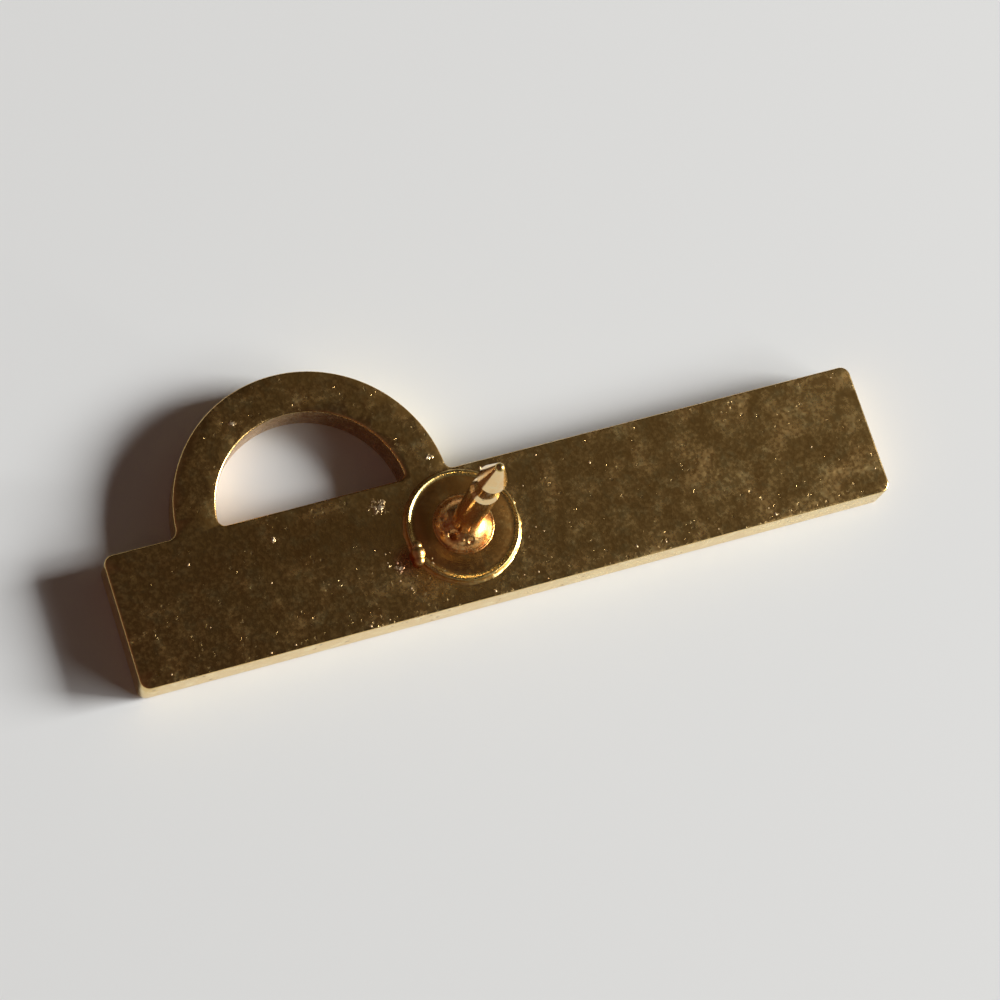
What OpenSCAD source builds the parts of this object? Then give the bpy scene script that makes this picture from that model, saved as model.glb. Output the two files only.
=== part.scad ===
// Lapel pin lying on its front face, with the nail on its back standing up.
// +X runs along the bar, +Y towards the half ring, +Z up along the nail.
// The origin is the centre of the bottom of the box that holds the whole pin.

/* [Bar] */
// Length of the bar
bar_length = 32; // [26:0.5:40]
// Width of the bar
bar_width = 5.57; // [5:0.01:8]
// Thickness of the stamped plate
plate_thickness = 1.7; // [1.2:0.1:3]
// Radius of the bar's corners, seen from the back
corner_radius = 0.4; // [0.4:0.05:1.2]

/* [Half ring] */
// Outer radius of the half ring
ring_outer_radius = 5.63; // [5:0.01:6.5]
// Radius of the hole inside the half ring
ring_inner_radius = 3.92; // [2.5:0.01:4.2]
// Distance from the bar's left end to the middle of the half ring
ring_from_left = 8.72; // [8:0.01:10]
// How far the middle of the half ring lies below the bar's upper edge
ring_sink = 0.12; // [0:0.01:0.5]
// Radius of the hollow corner at the half ring's left foot
left_foot_radius = 0.4; // [0.2:0.05:0.8]
// Radius of the hollow corner at the half ring's right foot
right_foot_radius = 0.3; // [0.2:0.05:0.8]
// Radius of the hole's two corners
hole_corner_radius = 0.3; // [0.1:0.05:0.6]

/* [Edges] */
// Rounding of the edges of the front face, which the stamping rolls over
front_edge_radius = 0.25; // [0.1:0.05:0.35]
// Rounding of the edges of the back face
back_edge_radius = 0.08; // [0.05:0.01:0.2]

/* [Base pad] */
// Distance from the bar's left end to the nail's axis
nail_from_left = 14.19; // [12:0.01:20]
// Distance from the bar's lower edge to the nail's axis
nail_from_lower_edge = 3.1; // [2.6:0.01:3.4]
// Diameter of the round base pad
pad_diameter = 4.62; // [4:0.02:5]
// Height of the pad's rim above the back of the plate
pad_rim_height = 0.3; // [0.25:0.01:0.6]
// Radius of the bead that runs round the pad as its rim
pad_rim_radius = 0.075; // [0.065:0.005:0.1]
// How far the pad's face lies below the top of its rim
pad_recess = 0.06; // [0.02:0.01:0.06]
// Diameter of the dome round the nail's foot, where it stands on the pad
dome_diameter = 2.4; // [2:0.02:2.5]
// Radius of the ball that the dome is the top of
dome_ball_radius = 1.3; // [1.26:0.01:1.6]
// Width of the dome's flat top round the shaft
dome_seat_width = 0.04; // [0.02:0.01:0.1]

/* [Solder] */
// Width of the solder line on the plate, round the pad
solder_width = 0.1; // [0.05:0.01:0.2]
// Height of the solder line on the side of the pad
solder_height = 0.12; // [0.05:0.01:0.2]
// Radius of the solder blob on the pad's rim
blob_radius = 0.3; // [0.2:0.02:0.4]
// Where the blob sits round the pad, in degrees from +X
blob_angle = 197; // [170:1:230]
// How far the blob spreads along the rim, in degrees
blob_spread = 18; // [8:1:30]
// How much smaller the blob's outer balls are than its middle one
blob_taper = 0.2; // [0:0.05:0.5]

/* [Nail] */
// Diameter of the nail's shaft
nail_diameter = 1.17; // [1:0.01:1.3]
// Height of the shoulder under the groove, above the back of the plate
shoulder_height = 4.83; // [3:0.01:8]
// Length of the groove, from the shoulder to the head
groove_length = 1.47; // [0.6:0.01:2]
// Diameter of the neck in the groove
neck_diameter = 0.86; // [0.7:0.01:0.9]
// Height of the bevel that leads from the shoulder into the groove
shoulder_bevel = 0.38; // [0.2:0.01:0.5]
// Height of the bevel that leads out of the groove to the head
head_bevel = 0.07; // [0.05:0.01:0.15]
// How far the head's side leans in from upright, in degrees
head_taper = 15; // [10:0.5:25]
// Radius of the ball that rounds the head's tip
tip_radius = 0.2; // [0.05:0.01:0.3]
// Diameter of the nail's foot, which sits in the dome
foot_diameter = 0.8; // [0.6:0.02:0.9]
// Gap between the nail and the dome that holds it
foot_gap = 0.02; // [0.01:0.01:0.05]

/* [Hidden] */
$fn = 96;

// Thickness of plate that is left under the nail's foot, above the back face
foot_floor = 0.1;
// Length by which a cutter runs past the metal that it cuts
past = 1;
// Number of steps in which the outline of the head's tip curves in to the axis
tip_steps = 12;

full_width = bar_width - ring_sink + ring_outer_radius;
left_end = -bar_length / 2;
right_end = bar_length / 2;
lower_edge = -full_width / 2;
upper_edge = lower_edge + bar_width;
ring_x = left_end + ring_from_left;
ring_y = upper_edge - ring_sink;
nail_x = left_end + nail_from_left;
nail_y = lower_edge + nail_from_lower_edge;
pad_radius = pad_diameter / 2;
dome_radius = dome_diameter / 2;
nail_radius = nail_diameter / 2;
neck_radius = neck_diameter / 2;
foot_radius = foot_diameter / 2;

// Heights above the back of the plate: the lower edge of the nail's head, and the pad's face
head_height = shoulder_height + groove_length;
pad_face_height = pad_rim_height - pad_recess;

// Height of the middle of the tip's ball above the head's lower edge
head_side_height = (nail_radius - tip_radius * cos(head_taper)) / tan(head_taper);
tip_ball_height = head_side_height - tip_radius * sin(head_taper);

// Heights above the back of the plate: the middle of the dome's ball, and the dome's flat top
dome_ball_height = pad_face_height - sqrt(pow(dome_ball_radius, 2) - pow(dome_radius, 2));
dome_top = dome_ball_height + sqrt(pow(dome_ball_radius, 2) - pow(nail_radius + dome_seat_width, 2));

// Places where the half ring's outer circle and the hole's circle meet the bar's upper edge
outer_reach = sqrt(pow(ring_outer_radius, 2) - pow(ring_sink, 2));
inner_reach = sqrt(pow(ring_inner_radius, 2) - pow(ring_sink, 2));

// Half of the plate's section: from the middle out to the edge, front rounding below, back above
module edge_section(reach) {
    square([reach - front_edge_radius, plate_thickness]);
    translate([0, front_edge_radius])
        square([reach, plate_thickness - front_edge_radius - back_edge_radius]);
    translate([0, front_edge_radius])
        square([reach - back_edge_radius, plate_thickness - front_edge_radius]);
    translate([reach - front_edge_radius, front_edge_radius])
        circle(front_edge_radius);
    translate([reach - back_edge_radius, plate_thickness - back_edge_radius])
        circle(back_edge_radius);
}

// A stretch of the bar with its section on both sides of the line that it runs along
module straight_run(length, reach) {
    for (side = [0, 1])
        mirror([0, side, 0])
            rotate([90, 0, 90])
                linear_extrude(length)
                    edge_section(reach);
}

// The bar: one run along X, one along Y, and a turned corner at each end of both
module bar() {
    long_run = bar_length - 2 * corner_radius;
    cross_run = bar_width - 2 * corner_radius;
    translate([left_end + corner_radius, lower_edge + bar_width / 2, 0])
        straight_run(long_run, bar_width / 2);
    translate([0, lower_edge + corner_radius, 0])
        rotate([0, 0, 90])
            straight_run(cross_run, bar_length / 2);
    for (x = [left_end + corner_radius, right_end - corner_radius])
        for (y = [lower_edge + corner_radius, upper_edge - corner_radius])
            translate([x, y, 0])
                rotate_extrude()
                    edge_section(corner_radius);
}

// Section of the half ring, with the edges rounded like the bar's
module ring_section() {
    ring_width = ring_outer_radius - ring_inner_radius;
    middle = (ring_outer_radius + ring_inner_radius) / 2;
    for (side = [0, 1])
        translate([middle, 0])
            mirror([side, 0])
                edge_section(ring_width / 2);
}

// The ring is turned whole, and what reaches below the middle of the bar is cut away
module half_ring() {
    cut_top = lower_edge + bar_width / 2;
    cut_side = 4 * ring_outer_radius;
    difference() {
        translate([ring_x, ring_y, 0])
            rotate_extrude()
                ring_section();
        translate([ring_x - cut_side / 2, cut_top - cut_side, -past])
            cube([cut_side, cut_side, plate_thickness + 2 * past]);
    }
}

// Metal with a hollow round face in a corner that stands on the bar's upper edge.
// The corner lies at `reach` from the ring's middle, and opens towards the side that `turn` names.
module corner_fillet(reach, radius, turn) {
    overlap = radius / 2;
    translate([ring_x + reach, upper_edge, front_edge_radius])
        mirror([turn > 0 ? 0 : 1, 0, 0])
            linear_extrude(plate_thickness - front_edge_radius - back_edge_radius)
                difference() {
                    translate([-overlap, -overlap])
                        square(radius + overlap);
                    translate([radius, radius])
                        circle(radius);
                }
}

module plate() {
    bar();
    half_ring();
    corner_fillet(-outer_reach, left_foot_radius, -1);
    corner_fillet(outer_reach, right_foot_radius, 1);
    corner_fillet(-inner_reach, hole_corner_radius, 1);
    corner_fillet(inner_reach, hole_corner_radius, -1);
}

// The round pad: its flat face, and the bead that stands round it as a rim
module base_pad() {
    bead_height = pad_rim_height - pad_rim_radius;
    rotate_extrude() {
        square([pad_radius, bead_height]);
        square([pad_radius - pad_rim_radius, pad_face_height]);
        translate([pad_radius - pad_rim_radius, bead_height])
            circle(pad_rim_radius);
    }
}

// The dome: a ball that is cut off at the plate's back and flat round the shaft
module dome() {
    intersection() {
        translate([0, 0, dome_ball_height])
            sphere(dome_ball_radius);
        cylinder(h = dome_top, r = 2 * dome_ball_radius);
    }
}

// Solder that ran out round the pad, and the blob that it left on the rim: three balls side by side
module solder() {
    blob_height = pad_rim_height / 3;
    cylinder(h = solder_height, r1 = pad_radius + solder_width, r2 = pad_radius);
    for (step = [-1, 0, 1])
        rotate([0, 0, blob_angle + step * blob_spread / 2])
            translate([pad_radius - blob_radius / 3, 0, blob_height])
                intersection() {
                    sphere(blob_radius * (1 - blob_taper * abs(step)));
                    translate([0, 0, -blob_height])
                        cylinder(h = 2 * blob_radius, r = 2 * blob_radius);
                }
}

module badge_plate() {
    color("goldenrod")
        difference() {
            union() {
                plate();
                translate([nail_x, nail_y, plate_thickness - back_edge_radius]) {
                    cylinder(h = back_edge_radius, r = pad_radius);
                    translate([0, 0, back_edge_radius]) {
                        base_pad();
                        dome();
                        solder();
                    }
                }
            }
            translate([nail_x, nail_y, plate_thickness + foot_floor])
                cylinder(h = dome_top + past, r = foot_radius + foot_gap);
        }
}

// Half the outline of the nail's head: a cone that runs up from its lower edge, and a round tip
function head_outline() = concat([[0, 0], [nail_radius, 0]], [
    for (step = [0:tip_steps])
        let (angle = head_taper + (90 - head_taper) * step / tip_steps)
            [tip_radius * cos(angle), tip_ball_height + tip_radius * sin(angle)]
]);

// The nail: foot, shaft, shoulder, groove and pointed head, turned about its own axis
module nail_post() {
    foot_height = foot_floor + foot_gap;
    shaft_height = dome_top + foot_gap;
    color("gold")
        translate([nail_x, nail_y, plate_thickness])
            rotate_extrude() {
                translate([0, foot_height])
                    square([foot_radius, shaft_height - foot_height]);
                translate([0, shaft_height])
                    square([nail_radius, shoulder_height - shaft_height]);
                polygon([
                    [0, shoulder_height],
                    [nail_radius, shoulder_height],
                    [neck_radius, shoulder_height + shoulder_bevel],
                    [neck_radius, head_height - head_bevel],
                    [nail_radius, head_height],
                    [0, head_height]
                ]);
                translate([0, head_height])
                    polygon(head_outline());
            }
}

badge_plate();
nail_post();
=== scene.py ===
from math import atan2, cos, degrees, pi, radians, sin, sqrt, tan
from random import Random

import bmesh
import bpy
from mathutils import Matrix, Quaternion, Vector


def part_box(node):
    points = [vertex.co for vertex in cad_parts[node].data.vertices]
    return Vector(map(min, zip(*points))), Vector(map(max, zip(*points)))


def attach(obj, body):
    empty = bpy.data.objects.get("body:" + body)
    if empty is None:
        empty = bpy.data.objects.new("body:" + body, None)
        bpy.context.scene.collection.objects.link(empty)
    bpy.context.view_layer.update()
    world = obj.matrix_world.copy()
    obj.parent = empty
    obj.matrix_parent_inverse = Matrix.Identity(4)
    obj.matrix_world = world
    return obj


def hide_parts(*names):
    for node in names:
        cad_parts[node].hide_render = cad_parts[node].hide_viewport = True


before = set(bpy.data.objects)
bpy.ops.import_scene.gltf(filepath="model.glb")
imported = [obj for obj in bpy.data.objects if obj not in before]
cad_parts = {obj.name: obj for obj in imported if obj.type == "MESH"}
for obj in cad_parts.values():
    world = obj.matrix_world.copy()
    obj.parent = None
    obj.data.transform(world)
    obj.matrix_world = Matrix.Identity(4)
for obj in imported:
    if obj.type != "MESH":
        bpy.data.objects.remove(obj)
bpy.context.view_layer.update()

# Sizes and places

MM = 0.001

# Points nearer to each other than this are one point
TOUCHING = 1e-7

# The plate and the nail as they were made, read from the CAD parts in model.glb
PLATE_LOW, PLATE_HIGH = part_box("badge_plate")
NAIL_LOW, NAIL_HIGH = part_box("nail_post")
LEFT_END, RIGHT_END = PLATE_LOW.x, PLATE_HIGH.x
LOWER_EDGE = PLATE_LOW.y
NAIL_X = (NAIL_LOW.x + NAIL_HIGH.x) / 2
NAIL_Y = (NAIL_LOW.y + NAIL_HIGH.y) / 2
NAIL_RADIUS = (NAIL_HIGH.x - NAIL_LOW.x) / 2

# The stamped plate, whose ring has its middle a little below the bar's upper edge
BACK = 1.7 * MM
BAR_WIDTH = 5.57 * MM
UPPER_EDGE = LOWER_EDGE + BAR_WIDTH
CORNER_RADIUS = 0.4 * MM
RING_OUTER = 5.63 * MM
RING_INNER = 3.92 * MM
RING_SINK = UPPER_EDGE + RING_OUTER - PLATE_HIGH.y
RING_X = LEFT_END + 8.72 * MM
RING_Y = UPPER_EDGE - RING_SINK
LEFT_FOOT_RADIUS = 0.4 * MM
RIGHT_FOOT_RADIUS = 0.3 * MM
HOLE_CORNER_RADIUS = 0.3 * MM
FRONT_EDGE_RADIUS = 0.25 * MM
BACK_EDGE_RADIUS = 0.08 * MM
CELL = 0.8 * MM

# The base pad, with heights above the plate's back, into which it sinks a little
PAD_RADIUS = 2.31 * MM
PAD_SINK = 0.05 * MM
PAD_FACE = 0.24 * MM
PAD_CROWN = 0.08 * MM

# The pad's rim: a bead, and a slope that bends once on its way from the bead's middle to the face
RIM_HEIGHT = 0.3 * MM
RIM_BEAD = 0.075 * MM
RIM_BEND = 0.11 * MM
RIM_BEND_HEIGHT = PAD_FACE + 0.008 * MM
RIM_SLOPE = 0.17 * MM
RIM_WIDTH = 3.2 * RIM_BEAD

# The dome, with the bead round its foot, over which its ball starts some degrees higher
DOME_RADIUS = 1.2 * MM
DOME_BALL = 1.3 * MM
DOME_BEAD = 0.045 * MM
DOME_START = 3

# Dents and lumps of the dome: angle and distance from the nail, height, push and reach
DOME_DENTS = (
    (-146, 0.78 * MM, 0.76 * MM, -0.26 * MM, 0.28 * MM),
    (-92, 0.82 * MM, 0.74 * MM, -0.12 * MM, 0.16 * MM),
    (-118, 0.86 * MM, 0.7 * MM, 0.06 * MM, 0.18 * MM),
    (-165, 1.0 * MM, 0.6 * MM, 0.08 * MM, 0.2 * MM),
    (152, 0.86 * MM, 0.7 * MM, -0.07 * MM, 0.22 * MM),
)

# The nail, with heights above the plate's back
SHOULDER_HEIGHT = 4.83 * MM
SHOULDER_BEVEL = 0.27 * MM
NECK_RADIUS = 0.475 * MM
HEAD_HEIGHT = 6.3 * MM
HEAD_BEVEL = 0.07 * MM
HEAD_TAPER = radians(15)
TIP_RADIUS = 0.2 * MM

# The solder: where its line runs out on the plate, and the blob that it left on the pad's rim
SOLDER_WIDTH = 0.1 * MM
SOLDER_HEIGHT = 0.12 * MM
BLOB_RADIUS = 0.3 * MM
BLOB_ANGLE = 197
BLOB_SPREAD = 0.6 * MM
BLOB_TURN = radians(83)
BLOB_TAPER = 0.2
BLOB_VOXEL = 0.02 * MM

# Unevenness of the solder: size and depth of its waves
DOME_WAVES = (0.5 * MM, 0.018 * MM)
LINE_WAVES = (0.45 * MM, 0.08 * MM)
LINE_RIPPLES = (0.12 * MM, 0.03 * MM)
BLOB_WAVES = (0.3 * MM, 0.015 * MM)

# Beads of solder beside the blob: how many, angles and millimetres from the nail, and height
SPATTER = (
    (13, (-166, -138), (1.4, 2.1), PAD_FACE),
    (12, (-175, -145), (2.5, 3.5), 0),
)
SPATTER_SIZES = (0.03 * MM, 0.09 * MM)
SPATTER_FLATNESS = 0.35

# Grains on the back: how many lie anywhere, in a band by the lower edge, and beside the pad
GRAINS_ANYWHERE = 9
GRAINS_BY_EDGE = 15
GRAINS_BY_PAD = 6
GRAIN_SIZES = (0.035 * MM, 0.1 * MM)
GRAIN_FLATNESS = 0.28

# Where the grains lie: the part of the bar's length, the margins, the band, and round the pad
GRAIN_SPAN = 0.98
GRAIN_MARGIN = 0.15 * MM
GRAIN_EDGE = 0.1 * MM
GRAIN_BAND = 0.9 * MM
GRAIN_GAP = 0.2 * MM
GRAIN_TURN = 30
GRAIN_DISTANCES = (2.6, 4.4)

# A dark red tint on the plate beside the blob, full in its core
BLOB_TINT_REACH = 0.75 * MM
BLOB_TINT_CORE = 0.3 * BLOB_TINT_REACH
BLOB_TINT_SHARE = 0.75
BLOB_TINT = (0.55, 0.16, 0.08)

# Pale scuffs on the back: place along and across the plate, and reach
SCUFFS = (
    (-4.85 * MM, -0.8 * MM, 0.75 * MM),
    (-4.76 * MM, -3.43 * MM, 0.45 * MM),
    (-9.3 * MM, -1.03 * MM, 0.36 * MM),
    (-9.48 * MM, 3.98 * MM, 0.32 * MM),
    (-2.23 * MM, 0.62 * MM, 0.32 * MM),
)
SCUFF_TONE = (0.84, 0.72, 0.54)
SCUFF_DEPTH = 0.03 * MM

# The dull colour inside the pits
PIT_TONE = (0.42, 0.28, 0.12)

# How much the film, with its painted sheen towards +X, tints a finish, and how much the grain, pits
# and scuffs roughen it
FILM_AND_SHEEN_TINT = 0.6
GRAIN_WEAR = 0.3
PIT_WEAR = 0.7
SCUFF_WEAR = 0.9

# Colours of the floor, the room's walls, a glow low at the left, the ceiling and its middle
PAPER = (0.778, 0.796, 0.79)
ROOM = (0.02, 0.014, 0.01)
LOW_GLOW = (0.126, 0.069, 0.062)
CEILING = (0.072, 0.0562, 0.0386)
CEILING_LIGHT = (0.15, 0.12, 0.082)

# Azimuth and elevation of the low glow and of the ceiling's light, in degrees
LOW_PLACE = (190, 30)
CEILING_PLACE = (20, 40)

# Steps round the turned pieces, and of the arcs of the outlines
TURN_STEPS = 160
NAIL_STEPS = 96
RIM_STEPS = 10
CROWN_STEPS = 6
BEAD_STEPS = 6
BALL_STEPS = 30
TIP_STEPS = 12
CORNER_STEPS = 8
RING_STEPS = 128
HOLE_STEPS = 96


# Modelling helpers

def clear_selection():
    """Leaves edit mode and deselects every object, the CAD nodes among them."""
    if bpy.context.object and bpy.context.object.mode != "OBJECT":
        bpy.ops.object.mode_set(mode="OBJECT")
    bpy.ops.object.select_all(action="DESELECT")


def activate(piece):
    """Makes the piece the only selected object, and the active one."""
    clear_selection()
    piece.select_set(True)
    bpy.context.view_layer.objects.active = piece


def settle(name):
    """Names the active piece, and puts its place, turn and size into its mesh."""
    piece = bpy.context.object
    piece.name = piece.data.name = name
    bpy.ops.object.transform_apply(location=True, rotation=True, scale=True)
    return piece


def first_point(name, place):
    """Starts a piece as a single point, and leaves it in edit mode."""
    clear_selection()
    bpy.ops.mesh.primitive_plane_add(size=MM, location=place)
    piece = settle(name)
    bpy.ops.object.mode_set(mode="EDIT")
    bpy.ops.mesh.select_mode(type="VERT")
    bpy.ops.mesh.select_all(action="SELECT")
    bpy.ops.mesh.merge(type="CENTER")
    return piece


def drawn(name, outline, low, high):
    """Draws a closed outline of (x, y) points, fills it, and pulls it up from low to high."""
    piece = first_point(name, (*outline[0], low))
    for (x_before, y_before), (x, y) in zip(outline, outline[1:]):
        step = (x - x_before, y - y_before, 0)
        bpy.ops.mesh.extrude_region_move(TRANSFORM_OT_translate={"value": step})
    bpy.ops.mesh.select_all(action="SELECT")
    bpy.ops.mesh.edge_face_add()
    bpy.ops.mesh.extrude_region_move(TRANSFORM_OT_translate={"value": (0, 0, high - low)})
    bpy.ops.mesh.select_all(action="SELECT")
    bpy.ops.mesh.normals_make_consistent(inside=False)
    bpy.ops.object.mode_set(mode="OBJECT")
    return piece


def turned(name, outline, steps=TURN_STEPS):
    """Spins an outline of (radius, height above the back) round the nail into a closed piece."""
    first_radius, first_height = outline[0]
    piece = first_point(name, (NAIL_X + first_radius, NAIL_Y, BACK + first_height))
    for (radius_before, height_before), (radius, height) in zip(outline, outline[1:]):
        step = (radius - radius_before, 0, height - height_before)
        bpy.ops.mesh.extrude_region_move(TRANSFORM_OT_translate={"value": step})
    bpy.ops.mesh.select_all(action="SELECT")
    bpy.ops.mesh.spin(steps=steps, angle=2 * pi, center=(NAIL_X, NAIL_Y, 0), axis=(0, 0, 1))
    bpy.ops.mesh.select_all(action="SELECT")
    bpy.ops.mesh.remove_doubles(threshold=TOUCHING)
    bpy.ops.mesh.normals_make_consistent(inside=False)
    bpy.ops.object.mode_set(mode="OBJECT")
    return piece


def joined(name, pieces):
    """Joins pieces into one."""
    activate(pieces[0])
    for piece in pieces[1:]:
        piece.select_set(True)
    bpy.ops.object.join()
    return settle(name)


def apply_modifier(piece, kind, **settings):
    """Adds a modifier of this kind to the piece, with its settings, and applies it."""
    activate(piece)
    modifier = piece.modifiers.new(kind.title(), kind)
    for name, value in settings.items():
        setattr(modifier, name, value)
    bpy.ops.object.modifier_apply(modifier=modifier.name)


def cut_away(piece, tool):
    """Cuts the tool out of the piece, and removes the tool."""
    apply_modifier(piece, "BOOLEAN", operation="DIFFERENCE", solver="EXACT", object=tool)
    bpy.data.objects.remove(tool)


def bevel_edges(piece, wanted, width, segments):
    """Rounds the edges that `wanted` accepts."""
    activate(piece)
    bpy.ops.object.mode_set(mode="EDIT")
    bpy.ops.mesh.select_mode(type="EDGE")
    bpy.ops.mesh.select_all(action="DESELECT")
    work = bmesh.from_edit_mesh(piece.data)
    for edge in work.edges:
        edge.select_set(wanted(edge))
    bmesh.update_edit_mesh(piece.data)
    bpy.ops.mesh.bevel(
        offset=width, segments=segments, profile=0.5, affect="EDGES", clamp_overlap=False
    )
    bpy.ops.object.mode_set(mode="OBJECT")


def cut_into_cells(piece):
    """Cuts the piece by a square grid, so that its flat faces hold no long thin triangles."""
    corners = [Vector(corner) for corner in piece.bound_box]
    activate(piece)
    bpy.ops.object.mode_set(mode="EDIT")
    for axis in (0, 1):
        low = min(corner[axis] for corner in corners)
        high = max(corner[axis] for corner in corners)
        cells = round((high - low) / CELL)
        direction = Vector((0, 0, 0))
        direction[axis] = 1
        for step in range(1, cells):
            bpy.ops.mesh.select_all(action="SELECT")
            place = direction * (low + (high - low) * step / cells)
            bpy.ops.mesh.bisect(plane_co=place, plane_no=direction)
    bpy.ops.object.mode_set(mode="OBJECT")


def is_brim(height):
    """A test for the sharp edges that go round a flat face at this height."""
    def test(edge):
        on_face = all(abs(vertex.co.z - height) < TOUCHING for vertex in edge.verts)
        return on_face and len(edge.link_faces) == 2 and edge.calc_face_angle() > radians(30)
    return test


def roughen(piece, size, depth):
    """Pushes the piece's surface in and out by cloudy noise of this size and depth."""
    clouds = bpy.data.textures.new(piece.name + "_clouds", "CLOUDS")
    clouds.noise_scale = size
    clouds.noise_depth = 2
    apply_modifier(piece, "DISPLACE", texture=clouds, texture_coords="LOCAL", strength=depth)


def push(piece, place, distance, reach):
    """Pushes the surface round a place up, or down if negative, fading out over a reach."""
    activate(piece)
    bpy.ops.object.mode_set(mode="EDIT")
    bpy.ops.mesh.select_mode(type="VERT")
    bpy.ops.mesh.select_all(action="DESELECT")
    work = bmesh.from_edit_mesh(piece.data)
    min(work.verts, key=lambda vertex: (vertex.co - place).length).select_set(True)
    bmesh.update_edit_mesh(piece.data)
    bpy.ops.transform.translate(
        value=(0, 0, distance), use_proportional_edit=True,
        proportional_edit_falloff="SMOOTH", proportional_size=reach,
    )
    bpy.ops.object.mode_set(mode="OBJECT")


def round_the_nail(angle, distance, height):
    """A place at an angle in degrees and a distance from the nail, at a height above the back."""
    turn = radians(angle)
    return Vector((NAIL_X + distance * cos(turn), NAIL_Y + distance * sin(turn), BACK + height))


def scattered(name, places, sizes, flatness):
    """Small uneven grains, one at each place, most of them near the smallest size."""
    chance = Random(name)
    smallest, largest = sizes
    unevenness, breadth = 0.16 * MM, 0.75
    clear_selection()
    bpy.ops.mesh.primitive_ico_sphere_add(subdivisions=2, radius=MM)
    grain = settle(name)
    bpy.ops.object.mode_set(mode="EDIT")
    bpy.ops.mesh.select_all(action="SELECT")
    bpy.ops.transform.vertex_random(offset=unevenness, seed=len(places))
    bpy.ops.transform.resize(value=(1, breadth, flatness))
    bpy.ops.object.mode_set(mode="OBJECT")
    grains = []
    for place in places:
        copied = grain.copy()
        copied.data = grain.data.copy()
        bpy.context.scene.collection.objects.link(copied)
        copied.location = place
        copied.rotation_euler = (0, 0, chance.uniform(0, 2 * pi))
        radius = smallest + (largest - smallest) * chance.random() ** 2
        copied.scale = Vector((1, 1, 1)) * radius / MM
        grains.append(copied)
    bpy.data.objects.remove(grain)
    together = joined(name, grains)
    smooth(together, 60)
    return together


def coat(piece, material, wanted):
    """Gives a finish to the faces that `wanted` accepts."""
    piece.data.materials.append(material)
    activate(piece)
    piece.active_material_index = len(piece.data.materials) - 1
    bpy.ops.object.mode_set(mode="EDIT")
    bpy.ops.mesh.select_mode(type="FACE")
    bpy.ops.mesh.select_all(action="DESELECT")
    work = bmesh.from_edit_mesh(piece.data)
    for face in work.faces:
        face.select_set(wanted(face))
    bmesh.update_edit_mesh(piece.data)
    bpy.ops.object.material_slot_assign()
    bpy.ops.object.mode_set(mode="OBJECT")


def arc(middle_x, middle_y, radius, start, end, steps):
    """Points on an arc of an outline, from one angle to another, in degrees."""
    angles = [radians(start + (end - start) * step / steps) for step in range(steps + 1)]
    return [(middle_x + radius * cos(angle), middle_y + radius * sin(angle)) for angle in angles]


def smooth(piece, angle):
    """Shades the piece smoothly except over edges sharper than the angle, in degrees."""
    activate(piece)
    bpy.ops.object.shade_smooth_by_angle(angle=radians(angle))


# The stamped plate

def foot_middle(ring_radius, radius):
    """Where a round corner of this radius touches both the bar's edge and a ring wall.

    Gives the distance of the corner's middle from the ring's middle, along the bar, and the angle
    at which the ring's middle sees it. A wall seen from inside the ring has a negative radius.
    """
    reach = sqrt((ring_radius + radius) ** 2 - (RING_SINK + abs(radius)) ** 2)
    return reach, degrees(atan2(RING_SINK + abs(radius), reach))


def plate_outline():
    """The outside of the bar and the half ring, counter-clockwise from the lower left corner."""
    left, right = LEFT_END + CORNER_RADIUS, RIGHT_END - CORNER_RADIUS
    low, high = LOWER_EDGE + CORNER_RADIUS, UPPER_EDGE - CORNER_RADIUS
    left_reach, left_angle = foot_middle(RING_OUTER, LEFT_FOOT_RADIUS)
    right_reach, right_angle = foot_middle(RING_OUTER, RIGHT_FOOT_RADIUS)
    left_foot = (RING_X - left_reach, UPPER_EDGE + LEFT_FOOT_RADIUS, LEFT_FOOT_RADIUS)
    right_foot = (RING_X + right_reach, UPPER_EDGE + RIGHT_FOOT_RADIUS, RIGHT_FOOT_RADIUS)
    points = arc(left, low, CORNER_RADIUS, 180, 270, CORNER_STEPS)
    points += arc(right, low, CORNER_RADIUS, 270, 360, CORNER_STEPS)
    points += arc(right, high, CORNER_RADIUS, 0, 90, CORNER_STEPS)
    points += arc(*right_foot, 270, 180 + right_angle, CORNER_STEPS)
    points += arc(RING_X, RING_Y, RING_OUTER, right_angle, 180 - left_angle, RING_STEPS)[1:]
    points += arc(*left_foot, -left_angle, -90, CORNER_STEPS)[1:]
    points += arc(left, high, CORNER_RADIUS, 90, 180, CORNER_STEPS)
    return points


def hole_outline():
    """The D-shaped hole between the half ring and the bar, counter-clockwise."""
    reach, angle = foot_middle(RING_INNER, -HOLE_CORNER_RADIUS)
    corner_y = UPPER_EDGE + HOLE_CORNER_RADIUS
    points = arc(RING_X + reach, corner_y, HOLE_CORNER_RADIUS, -90, angle, CORNER_STEPS)
    points += arc(RING_X, RING_Y, RING_INNER, angle, 180 - angle, HOLE_STEPS)[1:]
    points += arc(RING_X - reach, corner_y, HOLE_CORNER_RADIUS, 180 - angle, 270, CORNER_STEPS)[1:]
    return points


def stamped_plate():
    """The bar and its half ring with the D-shaped hole, stamped in one."""
    plate = drawn("stamped_plate", plate_outline(), 0, BACK)
    cut_away(plate, drawn("punch", hole_outline(), -BACK, 2 * BACK))
    bevel_edges(plate, is_brim(BACK), BACK_EDGE_RADIUS, 3)
    bevel_edges(plate, is_brim(0), FRONT_EDGE_RADIUS, 5)
    cut_into_cells(plate)
    smooth(plate, 35)
    apply_modifier(plate, "WEIGHTED_NORMAL", keep_sharp=True)
    return plate


def is_hole_wall(face):
    """Faces of the wall that goes round the hole."""
    middle = face.calc_center_median()
    slack = 0.05 * MM
    from_ring = Vector((middle.x - RING_X, middle.y - RING_Y)).length
    in_hole = from_ring < RING_INNER + slack and middle.y > UPPER_EDGE - slack
    return in_hole and middle.z < BACK - BACK_EDGE_RADIUS


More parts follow.
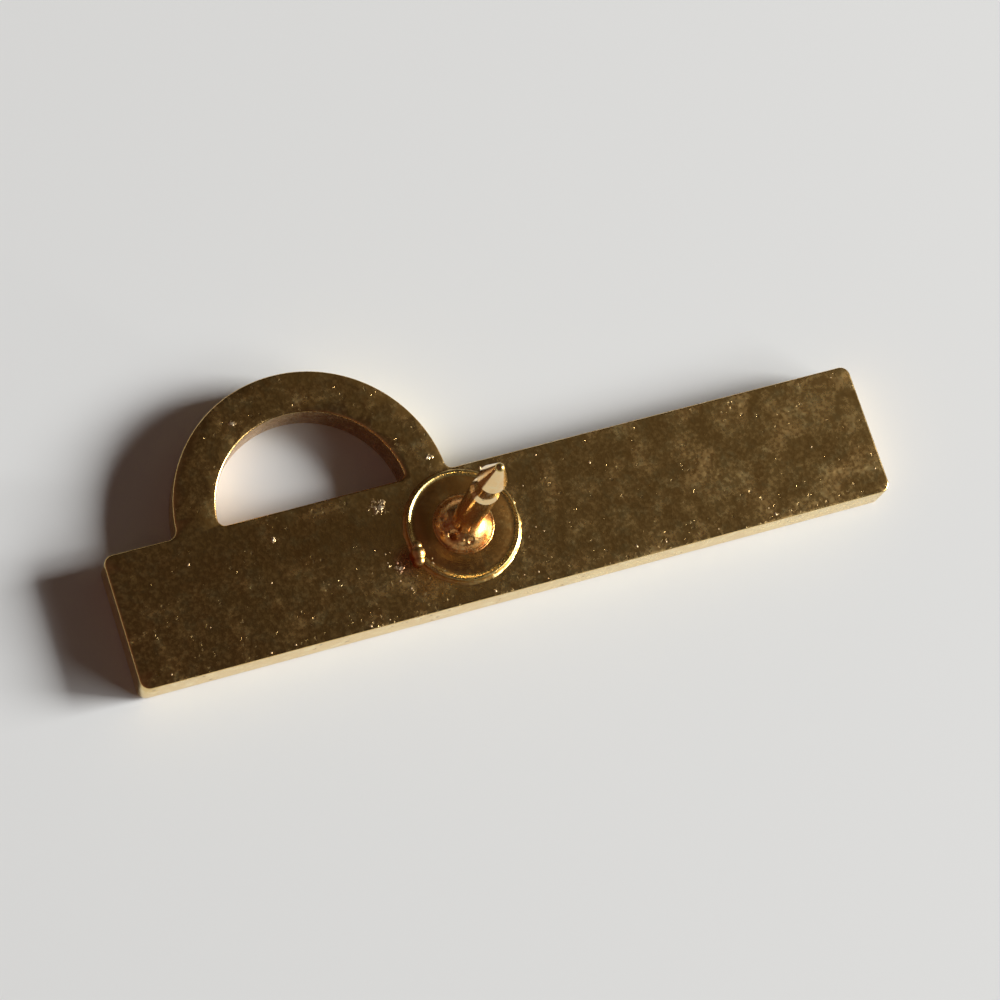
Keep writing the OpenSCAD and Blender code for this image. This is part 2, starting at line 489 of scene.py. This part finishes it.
def is_right_end(face):
    """Faces of the bar's right end, which is painted darker than the other walls: painted shade."""
    return face.normal.x > 0.5 and face.calc_center_median().x > RIGHT_END - CORNER_RADIUS


def is_rim(face):
    """Faces of the pad's raised rim, outside its flat face."""
    middle = face.calc_center_median()
    return Vector((middle.x - NAIL_X, middle.y - NAIL_Y)).length > PAD_RADIUS - RIM_WIDTH


def is_tip(face):
    """Faces of the nail's round tip."""
    return face.calc_center_median().z > NAIL_HIGH.z - TIP_RADIUS


def is_wall(face):
    """Faces of the walls, round the outside and round the hole."""
    return abs(face.normal.z) < 0.3


# The base pad, its dome, the solder and the nail

def base_pad():
    """The round pad: its beaded rim slopes down to its face, which is crowned a little."""
    bead_middle = PAD_RADIUS - RIM_BEAD
    outline = [(0, -PAD_SINK), (PAD_RADIUS, -PAD_SINK)]
    outline += arc(bead_middle, RIM_HEIGHT - RIM_BEAD, RIM_BEAD, 0, 140, RIM_STEPS)
    outline.append((bead_middle - RIM_BEND, RIM_BEND_HEIGHT))
    face_edge = bead_middle - RIM_SLOPE
    for step in range(CROWN_STEPS + 1):
        share = step / CROWN_STEPS
        radius = face_edge + (DOME_RADIUS - face_edge) * share
        outline.append((radius, PAD_FACE + PAD_CROWN * (1 - (1 - share) ** 2)))
    outline.append((0, PAD_FACE + PAD_CROWN))
    pad = turned("base_pad", outline)
    smooth(pad, 50)
    return pad


def solder_dome():
    """The low dome of solder that holds the nail's foot: a thin bead round it, a lumpy surface."""
    foot_height = PAD_FACE + PAD_CROWN
    ball_height = PAD_FACE - sqrt(DOME_BALL ** 2 - DOME_RADIUS ** 2)
    start = degrees(atan2(foot_height - ball_height, DOME_RADIUS)) + DOME_START
    end = degrees(atan2(sqrt(DOME_BALL ** 2 - NAIL_RADIUS ** 2), NAIL_RADIUS))
    outline = [(0, 0), (DOME_RADIUS + DOME_BEAD, 0)]
    outline += arc(DOME_RADIUS, foot_height, DOME_BEAD, 0, 140, BEAD_STEPS)
    outline += arc(0, ball_height, DOME_BALL, start, end, BALL_STEPS)
    outline.append((0, outline[-1][1]))
    dome = turned("solder_dome", outline)
    roughen(dome, *DOME_WAVES)
    for angle, distance, height, shift, reach in DOME_DENTS:
        push(dome, round_the_nail(angle, distance, height), shift, reach)
    smooth(dome, 50)
    return dome


def solder_line():
    """The line of solder that ran out round the pad's foot, uneven along its way."""
    inner, outer = PAD_RADIUS - PAD_SINK, PAD_RADIUS + SOLDER_WIDTH
    outline = [
        (inner, -PAD_SINK),
        (outer, -PAD_SINK),
        (outer, 0),
        (PAD_RADIUS + SOLDER_WIDTH / 2, SOLDER_HEIGHT / 4),
        (PAD_RADIUS + SOLDER_WIDTH / 5, SOLDER_HEIGHT / 2),
        (PAD_RADIUS, SOLDER_HEIGHT),
        (inner, SOLDER_HEIGHT),
        (inner, -PAD_SINK),
    ]
    line = turned("solder_line", outline, 2 * TURN_STEPS)
    roughen(line, *LINE_WAVES)
    roughen(line, *LINE_RIPPLES)
    smooth(line, 60)
    return line


def solder_blob():
    """The blob of solder across the pad's rim: three balls in a row, melted into one lump."""
    balls = []
    middle = round_the_nail(BLOB_ANGLE, PAD_RADIUS - BLOB_RADIUS / 3, RIM_HEIGHT / 2)
    apart = Vector((cos(BLOB_TURN), sin(BLOB_TURN), 0)) * BLOB_SPREAD / 2
    for step in (-1, 0, 1):
        radius = BLOB_RADIUS * (1 - BLOB_TAPER * abs(step))
        place = middle + apart * step
        clear_selection()
        bpy.ops.mesh.primitive_uv_sphere_add(
            segments=32, ring_count=16, radius=radius, location=place
        )
        balls.append(settle("solder_blob"))
    blob = joined("solder_blob", balls)
    apply_modifier(blob, "REMESH", mode="VOXEL", voxel_size=BLOB_VOXEL)
    apply_modifier(blob, "SMOOTH", iterations=20)
    roughen(blob, *BLOB_WAVES)
    smooth(blob, 180)
    return blob


def spatter():
    """Beads of solder on the pad's face beside the blob, and on the plate outside it."""
    chance = Random(5)
    places = [
        round_the_nail(chance.uniform(*angles), chance.uniform(*distances) * MM, height)
        for count, angles, distances, height in SPATTER
        for bead in range(count)
    ]
    return scattered("solder_spatter", places, SPATTER_SIZES, SPATTER_FLATNESS)


def plating_grains():
    """Grains that were plated over on the back: sparse, denser by the lower edge and the pad."""
    chance = Random(11)
    start = Vector((0, LOWER_EDGE + GRAIN_MARGIN, BACK))
    reach = BAR_WIDTH - 2 * GRAIN_MARGIN
    places = []
    for grain in range(GRAINS_ANYWHERE):
        along = chance.uniform(LEFT_END, RIGHT_END) * GRAIN_SPAN
        places.append(start + Vector((along, chance.random() * reach, 0)))
    for grain in range(GRAINS_BY_EDGE):
        along = chance.uniform(LEFT_END, RIGHT_END) * GRAIN_SPAN
        places.append(start + Vector((along, chance.random() ** 2 * GRAIN_BAND, 0)))
    for grain in range(GRAINS_BY_PAD):
        angle = chance.gauss(0, GRAIN_TURN)
        places.append(round_the_nail(angle, chance.uniform(*GRAIN_DISTANCES) * MM, 0))
    pad = round_the_nail(0, 0, 0)
    low, high = LOWER_EDGE + GRAIN_EDGE, UPPER_EDGE - GRAIN_EDGE
    places = [
        place for place in places
        if (place - pad).length > PAD_RADIUS + GRAIN_GAP and low < place.y < high
    ]
    return scattered("plating_grains", places, GRAIN_SIZES, GRAIN_FLATNESS)


def nail():
    """The nail: a plain shaft, a groove with a bevelled shoulder, and a cone with a round tip."""
    side_height = (NAIL_RADIUS - TIP_RADIUS * cos(HEAD_TAPER)) / tan(HEAD_TAPER)
    ball_height = HEAD_HEIGHT + side_height - TIP_RADIUS * sin(HEAD_TAPER)
    outline = [
        (0, PAD_FACE),
        (NAIL_RADIUS, PAD_FACE),
        (NAIL_RADIUS, SHOULDER_HEIGHT),
        (NECK_RADIUS, SHOULDER_HEIGHT + SHOULDER_BEVEL),
        (NECK_RADIUS, HEAD_HEIGHT - HEAD_BEVEL),
        (NAIL_RADIUS, HEAD_HEIGHT),
    ]
    outline += arc(0, ball_height, TIP_RADIUS, degrees(HEAD_TAPER), 90, TIP_STEPS)
    post = turned("nail", outline, NAIL_STEPS)
    smooth(post, 14)
    return post


# Finishes

def feed(tree, given, value):
    """Sets an input to a fixed value, or links it to the socket that gives its value."""
    if isinstance(value, bpy.types.NodeSocket):
        tree.links.new(value, given)
    else:
        given.default_value = value


def node(tree, kind, **values):
    """Adds a node. Each value is a setting of the node, or a fixed value or socket for an input."""
    made = tree.nodes.new("ShaderNode" + kind)
    for name, value in values.items():
        title = name.replace("_", " ")
        if title in made.inputs:
            feed(tree, made.inputs[title], value)
        else:
            setattr(made, name, value)
    return made


def new_group(name, inputs, outputs):
    """Starts a node group. Inputs and outputs are (name, socket type) pairs."""
    tree = bpy.data.node_groups.new(name, "ShaderNodeTree")
    for socket_name, kind in inputs:
        tree.interface.new_socket(socket_name, in_out="INPUT", socket_type="NodeSocket" + kind)
    for socket_name, kind in outputs:
        tree.interface.new_socket(socket_name, in_out="OUTPUT", socket_type="NodeSocket" + kind)
    return tree, tree.nodes.new("NodeGroupInput").outputs, tree.nodes.new("NodeGroupOutput").inputs


def use(tree, group, **values):
    """Places a group, feeds its inputs and gives its outputs."""
    return node(tree, "Group", node_tree=group, **values).outputs


def maths(tree, operation, first, second):
    """Works out a value from two others."""
    made = node(tree, "Math", operation=operation)
    feed(tree, made.inputs[0], first)
    feed(tree, made.inputs[1], second)
    return made.outputs[0]


def product(tree, first, second):
    """Multiplies two values."""
    return maths(tree, "MULTIPLY", first, second)


def total(tree, first, *others):
    """Adds values up."""
    for value in others:
        first = maths(tree, "ADD", first, value)
    return first


def spread(tree, value, low, high, low_result=0.0, high_result=1.0):
    """Stretches a value so that the range from low to high covers the range of results."""
    made = node(
        tree, "MapRange", Value=value, From_Min=low, From_Max=high,
        To_Min=low_result, To_Max=high_result,
    )
    return made.outputs["Result"]


def scaled_place(tree, place, size):
    """The place on the piece in units of a pattern's size."""
    per_mm = node(tree, "VectorMath", operation="SCALE", Vector=place, Scale=1 / MM).outputs[0]
    inverse = maths(tree, "DIVIDE", MM, size)
    return node(tree, "VectorMath", operation="SCALE", Vector=per_mm, Scale=inverse).outputs[0]


def distance_to(tree, place, spot):
    """How far the place on the piece is from a spot."""
    away = node(tree, "VectorMath", operation="DISTANCE", Vector=place)
    away.inputs[1].default_value = spot
    return away.outputs["Value"]


def blend_colours(tree, share, first, second):
    """Mixes two colours by a share between 0 and 1."""
    made = node(tree, "Mix", data_type="RGBA", Factor=share)
    for given, value in zip((made.inputs[6], made.inputs[7]), (first, second)):
        if isinstance(value, bpy.types.NodeSocket):
            tree.links.new(value, given)
        else:
            given.default_value = (*value, 1)
    return made.outputs[2]


def grain_group():
    """Fine grain of a tumbled casting: a height and a mask, at the size of one grain in metres."""
    tree, given, out = new_group(
        "fine_grain",
        [("Place", "Vector"), ("Size", "Float")],
        [("Height", "Float"), ("Mask", "Float")],
    )
    place = scaled_place(tree, given["Place"], given["Size"])
    noise = node(tree, "TexNoise", Vector=place, Scale=1.0, Detail=2.0, Roughness=0.55)
    tree.links.new(noise.outputs["Fac"], out["Height"])
    tree.links.new(spread(tree, noise.outputs["Fac"], 0.42, 0.66), out["Mask"])
    return tree


def pit_group():
    """Ragged pits in loose clusters, with a crowd by the bar's lower edge: some cells hold one.

    Puts out the pits' height, a mask that fades to their borders, and one that fills them.
    """
    tree, given, out = new_group(
        "scattered_pits",
        [("Place", "Vector"), ("Size", "Float"), ("Share", "Float")],
        [("Height", "Float"), ("Mask", "Float"), ("Fill", "Float")],
    )
    place = scaled_place(tree, given["Place"], given["Size"])
    bend = node(tree, "TexNoise", Vector=place, Scale=2.4, Detail=2.0, Roughness=0.6)
    bent = node(tree, "VectorMath", operation="MULTIPLY_ADD", Vector=bend.outputs["Color"])
    feed(tree, bent.inputs[1], (0.9, 0.9, 0.9))
    feed(tree, bent.inputs[2], place)
    cells = node(tree, "TexVoronoi", Vector=bent.outputs[0], Scale=1.0, Randomness=1.0)
    chance = node(tree, "SeparateColor", Color=cells.outputs["Color"]).outputs
    clusters = node(tree, "TexNoise", Vector=place, Scale=0.16, Detail=2.0, Roughness=0.5)
    clustering = spread(tree, clusters.outputs["Fac"], 0.44, 0.68, 0.05, 3.2)
    across = node(tree, "SeparateXYZ", Vector=given["Place"]).outputs["Y"]
    by_edge = spread(tree, across, LOWER_EDGE + 0.1 * MM, LOWER_EDGE + 0.8 * MM, 2.2, 0.0)
    filled = product(tree, given["Share"], total(tree, clustering, by_edge))
    reach = spread(tree, chance["Green"], 0, 1, 0.16, 0.44)
    nearness = maths(tree, "DIVIDE", cells.outputs["Distance"], reach)
    hollow = spread(tree, nearness, 0.2, 1.0, 1.0, 0.0)
    mask = product(tree, hollow, maths(tree, "LESS_THAN", chance["Red"], filled))
    tree.links.new(mask, out["Mask"])
    tree.links.new(spread(tree, mask, 0.0, 0.3), out["Fill"])
    tree.links.new(product(tree, product(tree, mask, reach), -1.0), out["Height"])
    return tree


def film_and_sheen_group():
    """A cloudy film in patches that break up finely; its lean input puts more of it towards +X, a
    painted sheen that makes the side towards the key light paler.
    """
    tree, given, out = new_group(
        "cloudy_film_and_sheen",
        [("Place", "Vector"), ("Size", "Float"), ("Lean", "Float")],
        [("Mask", "Float")],
    )
    place = scaled_place(tree, given["Place"], given["Size"])
    along = node(tree, "SeparateXYZ", Vector=given["Place"]).outputs["X"]
    clouds = node(
        tree, "TexNoise", Vector=place, Scale=1.0, Detail=5.0, Roughness=0.6, Distortion=0.4
    )
    flecks = node(tree, "TexNoise", Vector=place, Scale=9.0, Detail=3.0, Roughness=0.6)
    amount = total(tree, clouds.outputs["Fac"], product(tree, along, given["Lean"]))
    patches = spread(tree, amount, 0.46, 0.74)
    broken = spread(tree, flecks.outputs["Fac"], 0.3, 0.7, 0.4, 1.0)
    tree.links.new(product(tree, patches, broken), out["Mask"])
    return tree


def mottling_group():
    """Slow changes of the plating's colour, between a base, a redder and an olive tone."""
    tree, given, out = new_group(
        "plating_mottling",
        [
            ("Place", "Vector"), ("Size", "Float"),
            ("Base", "Color"), ("Warm", "Color"), ("Olive", "Color"),
        ],
        [("Color", "Color")],
    )
    place = scaled_place(tree, given["Place"], given["Size"])
    slow = node(tree, "TexNoise", Vector=place, Scale=1.0, Detail=3.0, Roughness=0.6)
    quick = node(tree, "TexNoise", Vector=place, Scale=2.7, Detail=4.0, Roughness=0.65)
    redder = spread(tree, slow.outputs["Fac"], 0.45, 0.7)
    greener = spread(tree, quick.outputs["Fac"], 0.5, 0.72)
    warmed = blend_colours(tree, redder, given["Base"], given["Warm"])
    tree.links.new(blend_colours(tree, greener, warmed, given["Olive"]), out["Color"])
    return tree


def blob_tint_group():
    """A dark red tint beside the blob of solder, laid over a colour."""
    tree, given, out = new_group(
        "blob_tint", [("Place", "Vector"), ("Color", "Color")], [("Color", "Color")]
    )
    spot = round_the_nail(BLOB_ANGLE, PAD_RADIUS + BLOB_TINT_REACH / 2, 0)
    away = distance_to(tree, given["Place"], spot)
    share = spread(tree, away, BLOB_TINT_CORE, BLOB_TINT_REACH, BLOB_TINT_SHARE, 0.0)
    tree.links.new(blend_colours(tree, share, given["Color"], BLOB_TINT), out["Color"])
    return tree


def scuff_group():
    """The pale scuffs on the back, broken up by the noise that is put in."""
    tree, given, out = new_group(
        "pale_scuffs", [("Place", "Vector"), ("Noise", "Float")], [("Mask", "Float")]
    )
    marks = []
    for along, across, reach in SCUFFS:
        away = distance_to(tree, given["Place"], (along, across, BACK))
        marks.append(spread(tree, away, 0, reach, 0.7, 0.0))
    tree.links.new(spread(tree, total(tree, given["Noise"], *marks), 0.9, 1.3), out["Mask"])
    return tree


MOTTLING = mottling_group()
FINE_GRAIN = grain_group()
PITS = pit_group()
FILM_AND_SHEEN = film_and_sheen_group()
BLOB_TINTING = blob_tint_group()
PALE_SCUFFS = scuff_group()


def finish(name, tones, tone_size, gloss, grain, pits, film, swell=(1 * MM, 0.0), sheen_lean=0.0):
    """A gold plating: mottled, with its own grain, dull pits, swells and film, tinted and scuffed.

    tones are a base, a redder and an olive colour. gloss is the roughness where the plating is
    clean and where it is worn. grain and swell are (size, depth), pits are (size, share, depth),
    and film is (size, strength). The lean makes the film stronger towards +X: a painted sheen,
    paler towards the key light.
    """
    material = bpy.data.materials.new(name)
    material.use_nodes = True
    tree = material.node_tree
    shader = tree.nodes["Principled BSDF"]
    shader.inputs["Metallic"].default_value = 1
    place = tree.nodes.new("ShaderNodeTexCoord").outputs["Object"]
    base, warm, olive = ((*tone, 1) for tone in tones)
    tone = use(
        tree, MOTTLING, Place=place, Size=tone_size, Base=base, Warm=warm, Olive=olive
    )["Color"]
    grains = use(tree, FINE_GRAIN, Place=place, Size=grain[0])
    swells = use(tree, FINE_GRAIN, Place=place, Size=swell[0])
    holes = use(tree, PITS, Place=place, Size=pits[0], Share=pits[1])
    haze_and_sheen = product(tree, use(tree, FILM_AND_SHEEN, Place=place, Size=film[0], Lean=sheen_lean)["Mask"], film[1])
    scuffs = use(tree, PALE_SCUFFS, Place=place, Noise=grains["Height"])["Mask"]
    # The film, and the painted sheen that its lean adds towards +X, pale the colour towards the
    # olive tone
    colour = blend_colours(tree, product(tree, haze_and_sheen, FILM_AND_SHEEN_TINT), tone, tones[2])
    colour = use(tree, BLOB_TINTING, Place=place, Color=colour)["Color"]
    colour = blend_colours(tree, holes["Fill"], colour, PIT_TONE)
    colour = blend_colours(tree, scuffs, colour, SCUFF_TONE)
    tree.links.new(colour, shader.inputs["Base Color"])
    wear = total(
        tree,
        product(tree, grains["Mask"], GRAIN_WEAR),
        haze_and_sheen,
        product(tree, holes["Mask"], PIT_WEAR),
        product(tree, scuffs, SCUFF_WEAR),
    )
    tree.links.new(spread(tree, wear, 0, 1, *gloss), shader.inputs["Roughness"])
    height = total(
        tree,
        product(tree, grains["Height"], grain[1]),
        product(tree, swells["Height"], swell[1]),
        product(tree, holes["Height"], pits[2]),
        product(tree, scuffs, SCUFF_DEPTH),
    )
    bump = node(tree, "Bump", Height=height, Strength=1.0, Distance=1.0)
    tree.links.new(bump.outputs["Normal"], shader.inputs["Normal"])
    return material


# The stage: floor, lights, camera

def pale_floor():
    """A wide, plain, pale floor."""
    clear_selection()
    bpy.ops.mesh.primitive_plane_add(size=4, location=(0, 0, 0))
    floor = settle("floor")
    material = bpy.data.materials.new("pale_paper")
    material.use_nodes = True
    shader = material.node_tree.nodes["Principled BSDF"]
    shader.inputs["Base Color"].default_value = (*PAPER, 1)
    shader.inputs["Roughness"].default_value = 0.9
    shader.inputs["Specular IOR Level"].default_value = 0.1
    floor.data.materials.append(material)


def heading(azimuth, elevation):
    """The direction at an azimuth from +X towards +Y and an elevation, in degrees."""
    across, up = radians(azimuth), radians(elevation)
    return Vector((cos(up) * cos(across), cos(up) * sin(across), sin(up)))


def softbox(name, azimuth, elevation, width, height, distance, radiance):
    """A soft rectangular light that points at the pin. Its place and size are in degrees."""
    direction = heading(azimuth, elevation)
    light = bpy.data.lights.new(name, "AREA")
    light.shape = "RECTANGLE"
    light.size = 2 * distance * tan(radians(width / 2))
    light.size_y = 2 * distance * tan(radians(height / 2))
    light.energy = radiance * pi * light.size * light.size_y
    lamp = bpy.data.objects.new(name, light)
    bpy.context.scene.collection.objects.link(lamp)
    lamp.location = direction * distance
    lamp.rotation_euler = direction.to_track_quat("Z", "Y").to_euler()


def glow(tree, direction, place, low, high=1.0):
    """A share from 0 to 1 that grows towards a place in the sky, as its cosine rises to high."""
    towards = node(tree, "VectorMath", operation="DOT_PRODUCT", Vector=direction)
    towards.inputs[1].default_value = heading(*place)
    return spread(tree, towards.outputs["Value"], low, high)


def dim_room():
    """The surroundings: a dark room with a lit part of the ceiling, and redder low at the left."""
    world = bpy.data.worlds.new("room")
    world.use_nodes = True
    tree = world.node_tree
    direction = tree.nodes.new("ShaderNodeTexCoord").outputs["Generated"]
    low_left = glow(tree, direction, LOW_PLACE, 0.3)
    ceiling = glow(tree, direction, CEILING_PLACE, 0.794, 0.875)
    brightest = glow(tree, direction, CEILING_PLACE, 0.9)
    colour = blend_colours(tree, low_left, ROOM, LOW_GLOW)
    colour = blend_colours(tree, ceiling, colour, CEILING)
    colour = blend_colours(tree, brightest, colour, CEILING_LIGHT)
    tree.links.new(colour, tree.nodes["Background"].inputs["Color"])
    bpy.context.scene.world = world


def place_camera():
    """Looks down on the pin's back from the side of its left end, as the photograph does."""
    eye = Vector((-38.69277, -34.44164, 136.4783)) * MM
    aim = Vector((0.0215, -1.788, 1.7)) * MM
    roll = radians(33.3227)
    camera = bpy.data.cameras.new("camera")
    camera.sensor_width = 36
    camera.lens = 129.636
    camera.clip_start = 0.001
    holder = bpy.data.objects.new("camera", camera)
    bpy.context.scene.collection.objects.link(holder)
    holder.location = eye
    turn = (eye - aim).to_track_quat("Z", "Y") @ Quaternion((0, 0, 1), roll)
    holder.rotation_euler = turn.to_euler()
    bpy.context.scene.camera = holder


# Putting it together

plate = stamped_plate()
pad = base_pad()
dome = solder_dome()
post = nail()
line = solder_line()
blob = solder_blob()
beads = spatter()
specks = plating_grains()

# The plate's back and its outer walls; the lean of their film paints a sheen that is paler towards
# +X, where the key light comes from
gilt_back = finish(
    "gilt_back",
    tones=((0.86, 0.565, 0.21), (0.82, 0.48, 0.165), (0.86, 0.65, 0.29)),
    tone_size=1.3 * MM,
    gloss=(0.18, 0.43),
    grain=(0.16 * MM, 0.0045 * MM),
    pits=(0.2 * MM, 0.13, 0.023 * MM),
    film=(1.3 * MM, 0.7),
    swell=(2.4 * MM, 0.02 * MM),
    sheen_lean=5.5,
)
gilt_side = finish(
    "gilt_side",
    tones=((0.78, 0.565, 0.22), (0.76, 0.54, 0.21), (0.92, 0.78, 0.44)),
    tone_size=1.4 * MM,
    gloss=(0.2, 0.32),
    grain=(0.14 * MM, 0.006 * MM),
    pits=(0.2 * MM, 0.02, 0.02 * MM),
    film=(2.2 * MM, 1.0),
    # A stronger lean: painted sheen, paler towards +X along the side strip
    sheen_lean=12.0,
)

# The punched wall of the hole, rougher than the outer walls and darker: partly the dull break of
# the punch, partly painted shade for the shadowed inside of the hole
gilt_break_and_shade = finish(
    "gilt_break_and_shade",
    tones=((0.58, 0.36, 0.16), (0.44, 0.22, 0.09), (0.8, 0.6, 0.34)),
    tone_size=0.6 * MM,
    gloss=(0.24, 0.45),
    grain=(0.12 * MM, 0.02 * MM),
    pits=(0.16 * MM, 0.15, 0.06 * MM),
    film=(0.6 * MM, 0.5),
)

# The bar's right end, painted darker than the other walls: painted shade
gilt_painted_shade_end = finish(
    "gilt_painted_shade_end",
    tones=((0.5, 0.35, 0.15), (0.42, 0.26, 0.1), (0.66, 0.5, 0.26)),
    tone_size=0.9 * MM,
    gloss=(0.22, 0.4),
    grain=(0.14 * MM, 0.008 * MM),
    pits=(0.2 * MM, 0.04, 0.03 * MM),
    film=(1 * MM, 0.6),
)

# The pad, the solder, the dome, and the grains and beads
gilt_pad = finish(
    "gilt_pad",
    tones=((0.9, 0.49, 0.15), (0.86, 0.42, 0.11), (0.92, 0.6, 0.22)),
    tone_size=1.2 * MM,
    gloss=(0.19, 0.36),
    grain=(0.16 * MM, 0.004 * MM),
    pits=(0.2 * MM, 0.02, 0.02 * MM),
    film=(1.3 * MM, 0.5),
    swell=(1.6 * MM, 0.012 * MM),
)
gilt_solder = finish(
    "gilt_solder",
    tones=((0.9, 0.58, 0.2), (0.84, 0.42, 0.12), (0.9, 0.74, 0.34)),
    tone_size=0.5 * MM,
    gloss=(0.3, 0.46),
    grain=(0.1 * MM, 0.006 * MM),
    pits=(0.2 * MM, 0.08, 0.04 * MM),
    film=(0.5 * MM, 0.5),
)
gilt_dome = finish(
    "gilt_dome",
    tones=((0.94, 0.48, 0.15), (0.46, 0.13, 0.035), (0.94, 0.7, 0.3)),
    tone_size=0.36 * MM,
    gloss=(0.26, 0.44),
    grain=(0.09 * MM, 0.008 * MM),
    pits=(0.2 * MM, 0.08, 0.04 * MM),
    film=(0.5 * MM, 0.6),
)
gilt_grains = finish(
    "gilt_grains",
    tones=((0.5, 0.35, 0.19), (0.42, 0.25, 0.12), (0.6, 0.48, 0.31)),
    tone_size=0.5 * MM,
    gloss=(0.45, 0.6),
    grain=(0.1 * MM, 0.006 * MM),
    pits=(0.2 * MM, 0.08, 0.04 * MM),
    film=(0.5 * MM, 0.5),
)

# Where the plating is worn: the pad's rim and the nail's tip
gilt_worn = finish(
    "gilt_worn",
    tones=((0.64, 0.46, 0.17), (0.58, 0.38, 0.12), (0.7, 0.54, 0.22)),
    tone_size=0.5 * MM,
    gloss=(0.25, 0.42),
    grain=(0.1 * MM, 0.006 * MM),
    pits=(0.2 * MM, 0.06, 0.02 * MM),
    film=(0.5 * MM, 0.5),
)

# The nail, smoother than the rest
gilt_nail = finish(
    "gilt_nail",
    tones=((0.9, 0.66, 0.34), (0.86, 0.57, 0.26), (0.86, 0.7, 0.4)),
    tone_size=0.8 * MM,
    gloss=(0.13, 0.3),
    grain=(0.15 * MM, 0.002 * MM),
    pits=(0.2 * MM, 0.02, 0.01 * MM),
    film=(0.9 * MM, 0.3),
)

plate.data.materials.append(gilt_back)
coat(plate, gilt_side, is_wall)
coat(plate, gilt_break_and_shade, is_hole_wall)
coat(plate, gilt_painted_shade_end, is_right_end)
pad.data.materials.append(gilt_pad)
coat(pad, gilt_worn, is_rim)
dome.data.materials.append(gilt_dome)
post.data.materials.append(gilt_nail)
coat(post, gilt_worn, is_tip)
for piece in (line, blob):
    piece.data.materials.append(gilt_solder)
for piece in (beads, specks):
    piece.data.materials.append(gilt_grains)
for piece in (plate, pad, dome, line, blob, beads, specks):
    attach(piece, "root")
    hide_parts("badge_plate")
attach(post, "root")
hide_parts("nail_post")

pale_floor()
softbox(
    "key_light", azimuth=-12, elevation=24, width=20, height=21, distance=1.3, radiance=43
)
softbox(
    "side_light", azimuth=-36, elevation=26, width=24, height=14, distance=1.3, radiance=9
)
dim_room()
place_camera()
bpy.context.scene.view_settings.view_transform = "Standard"
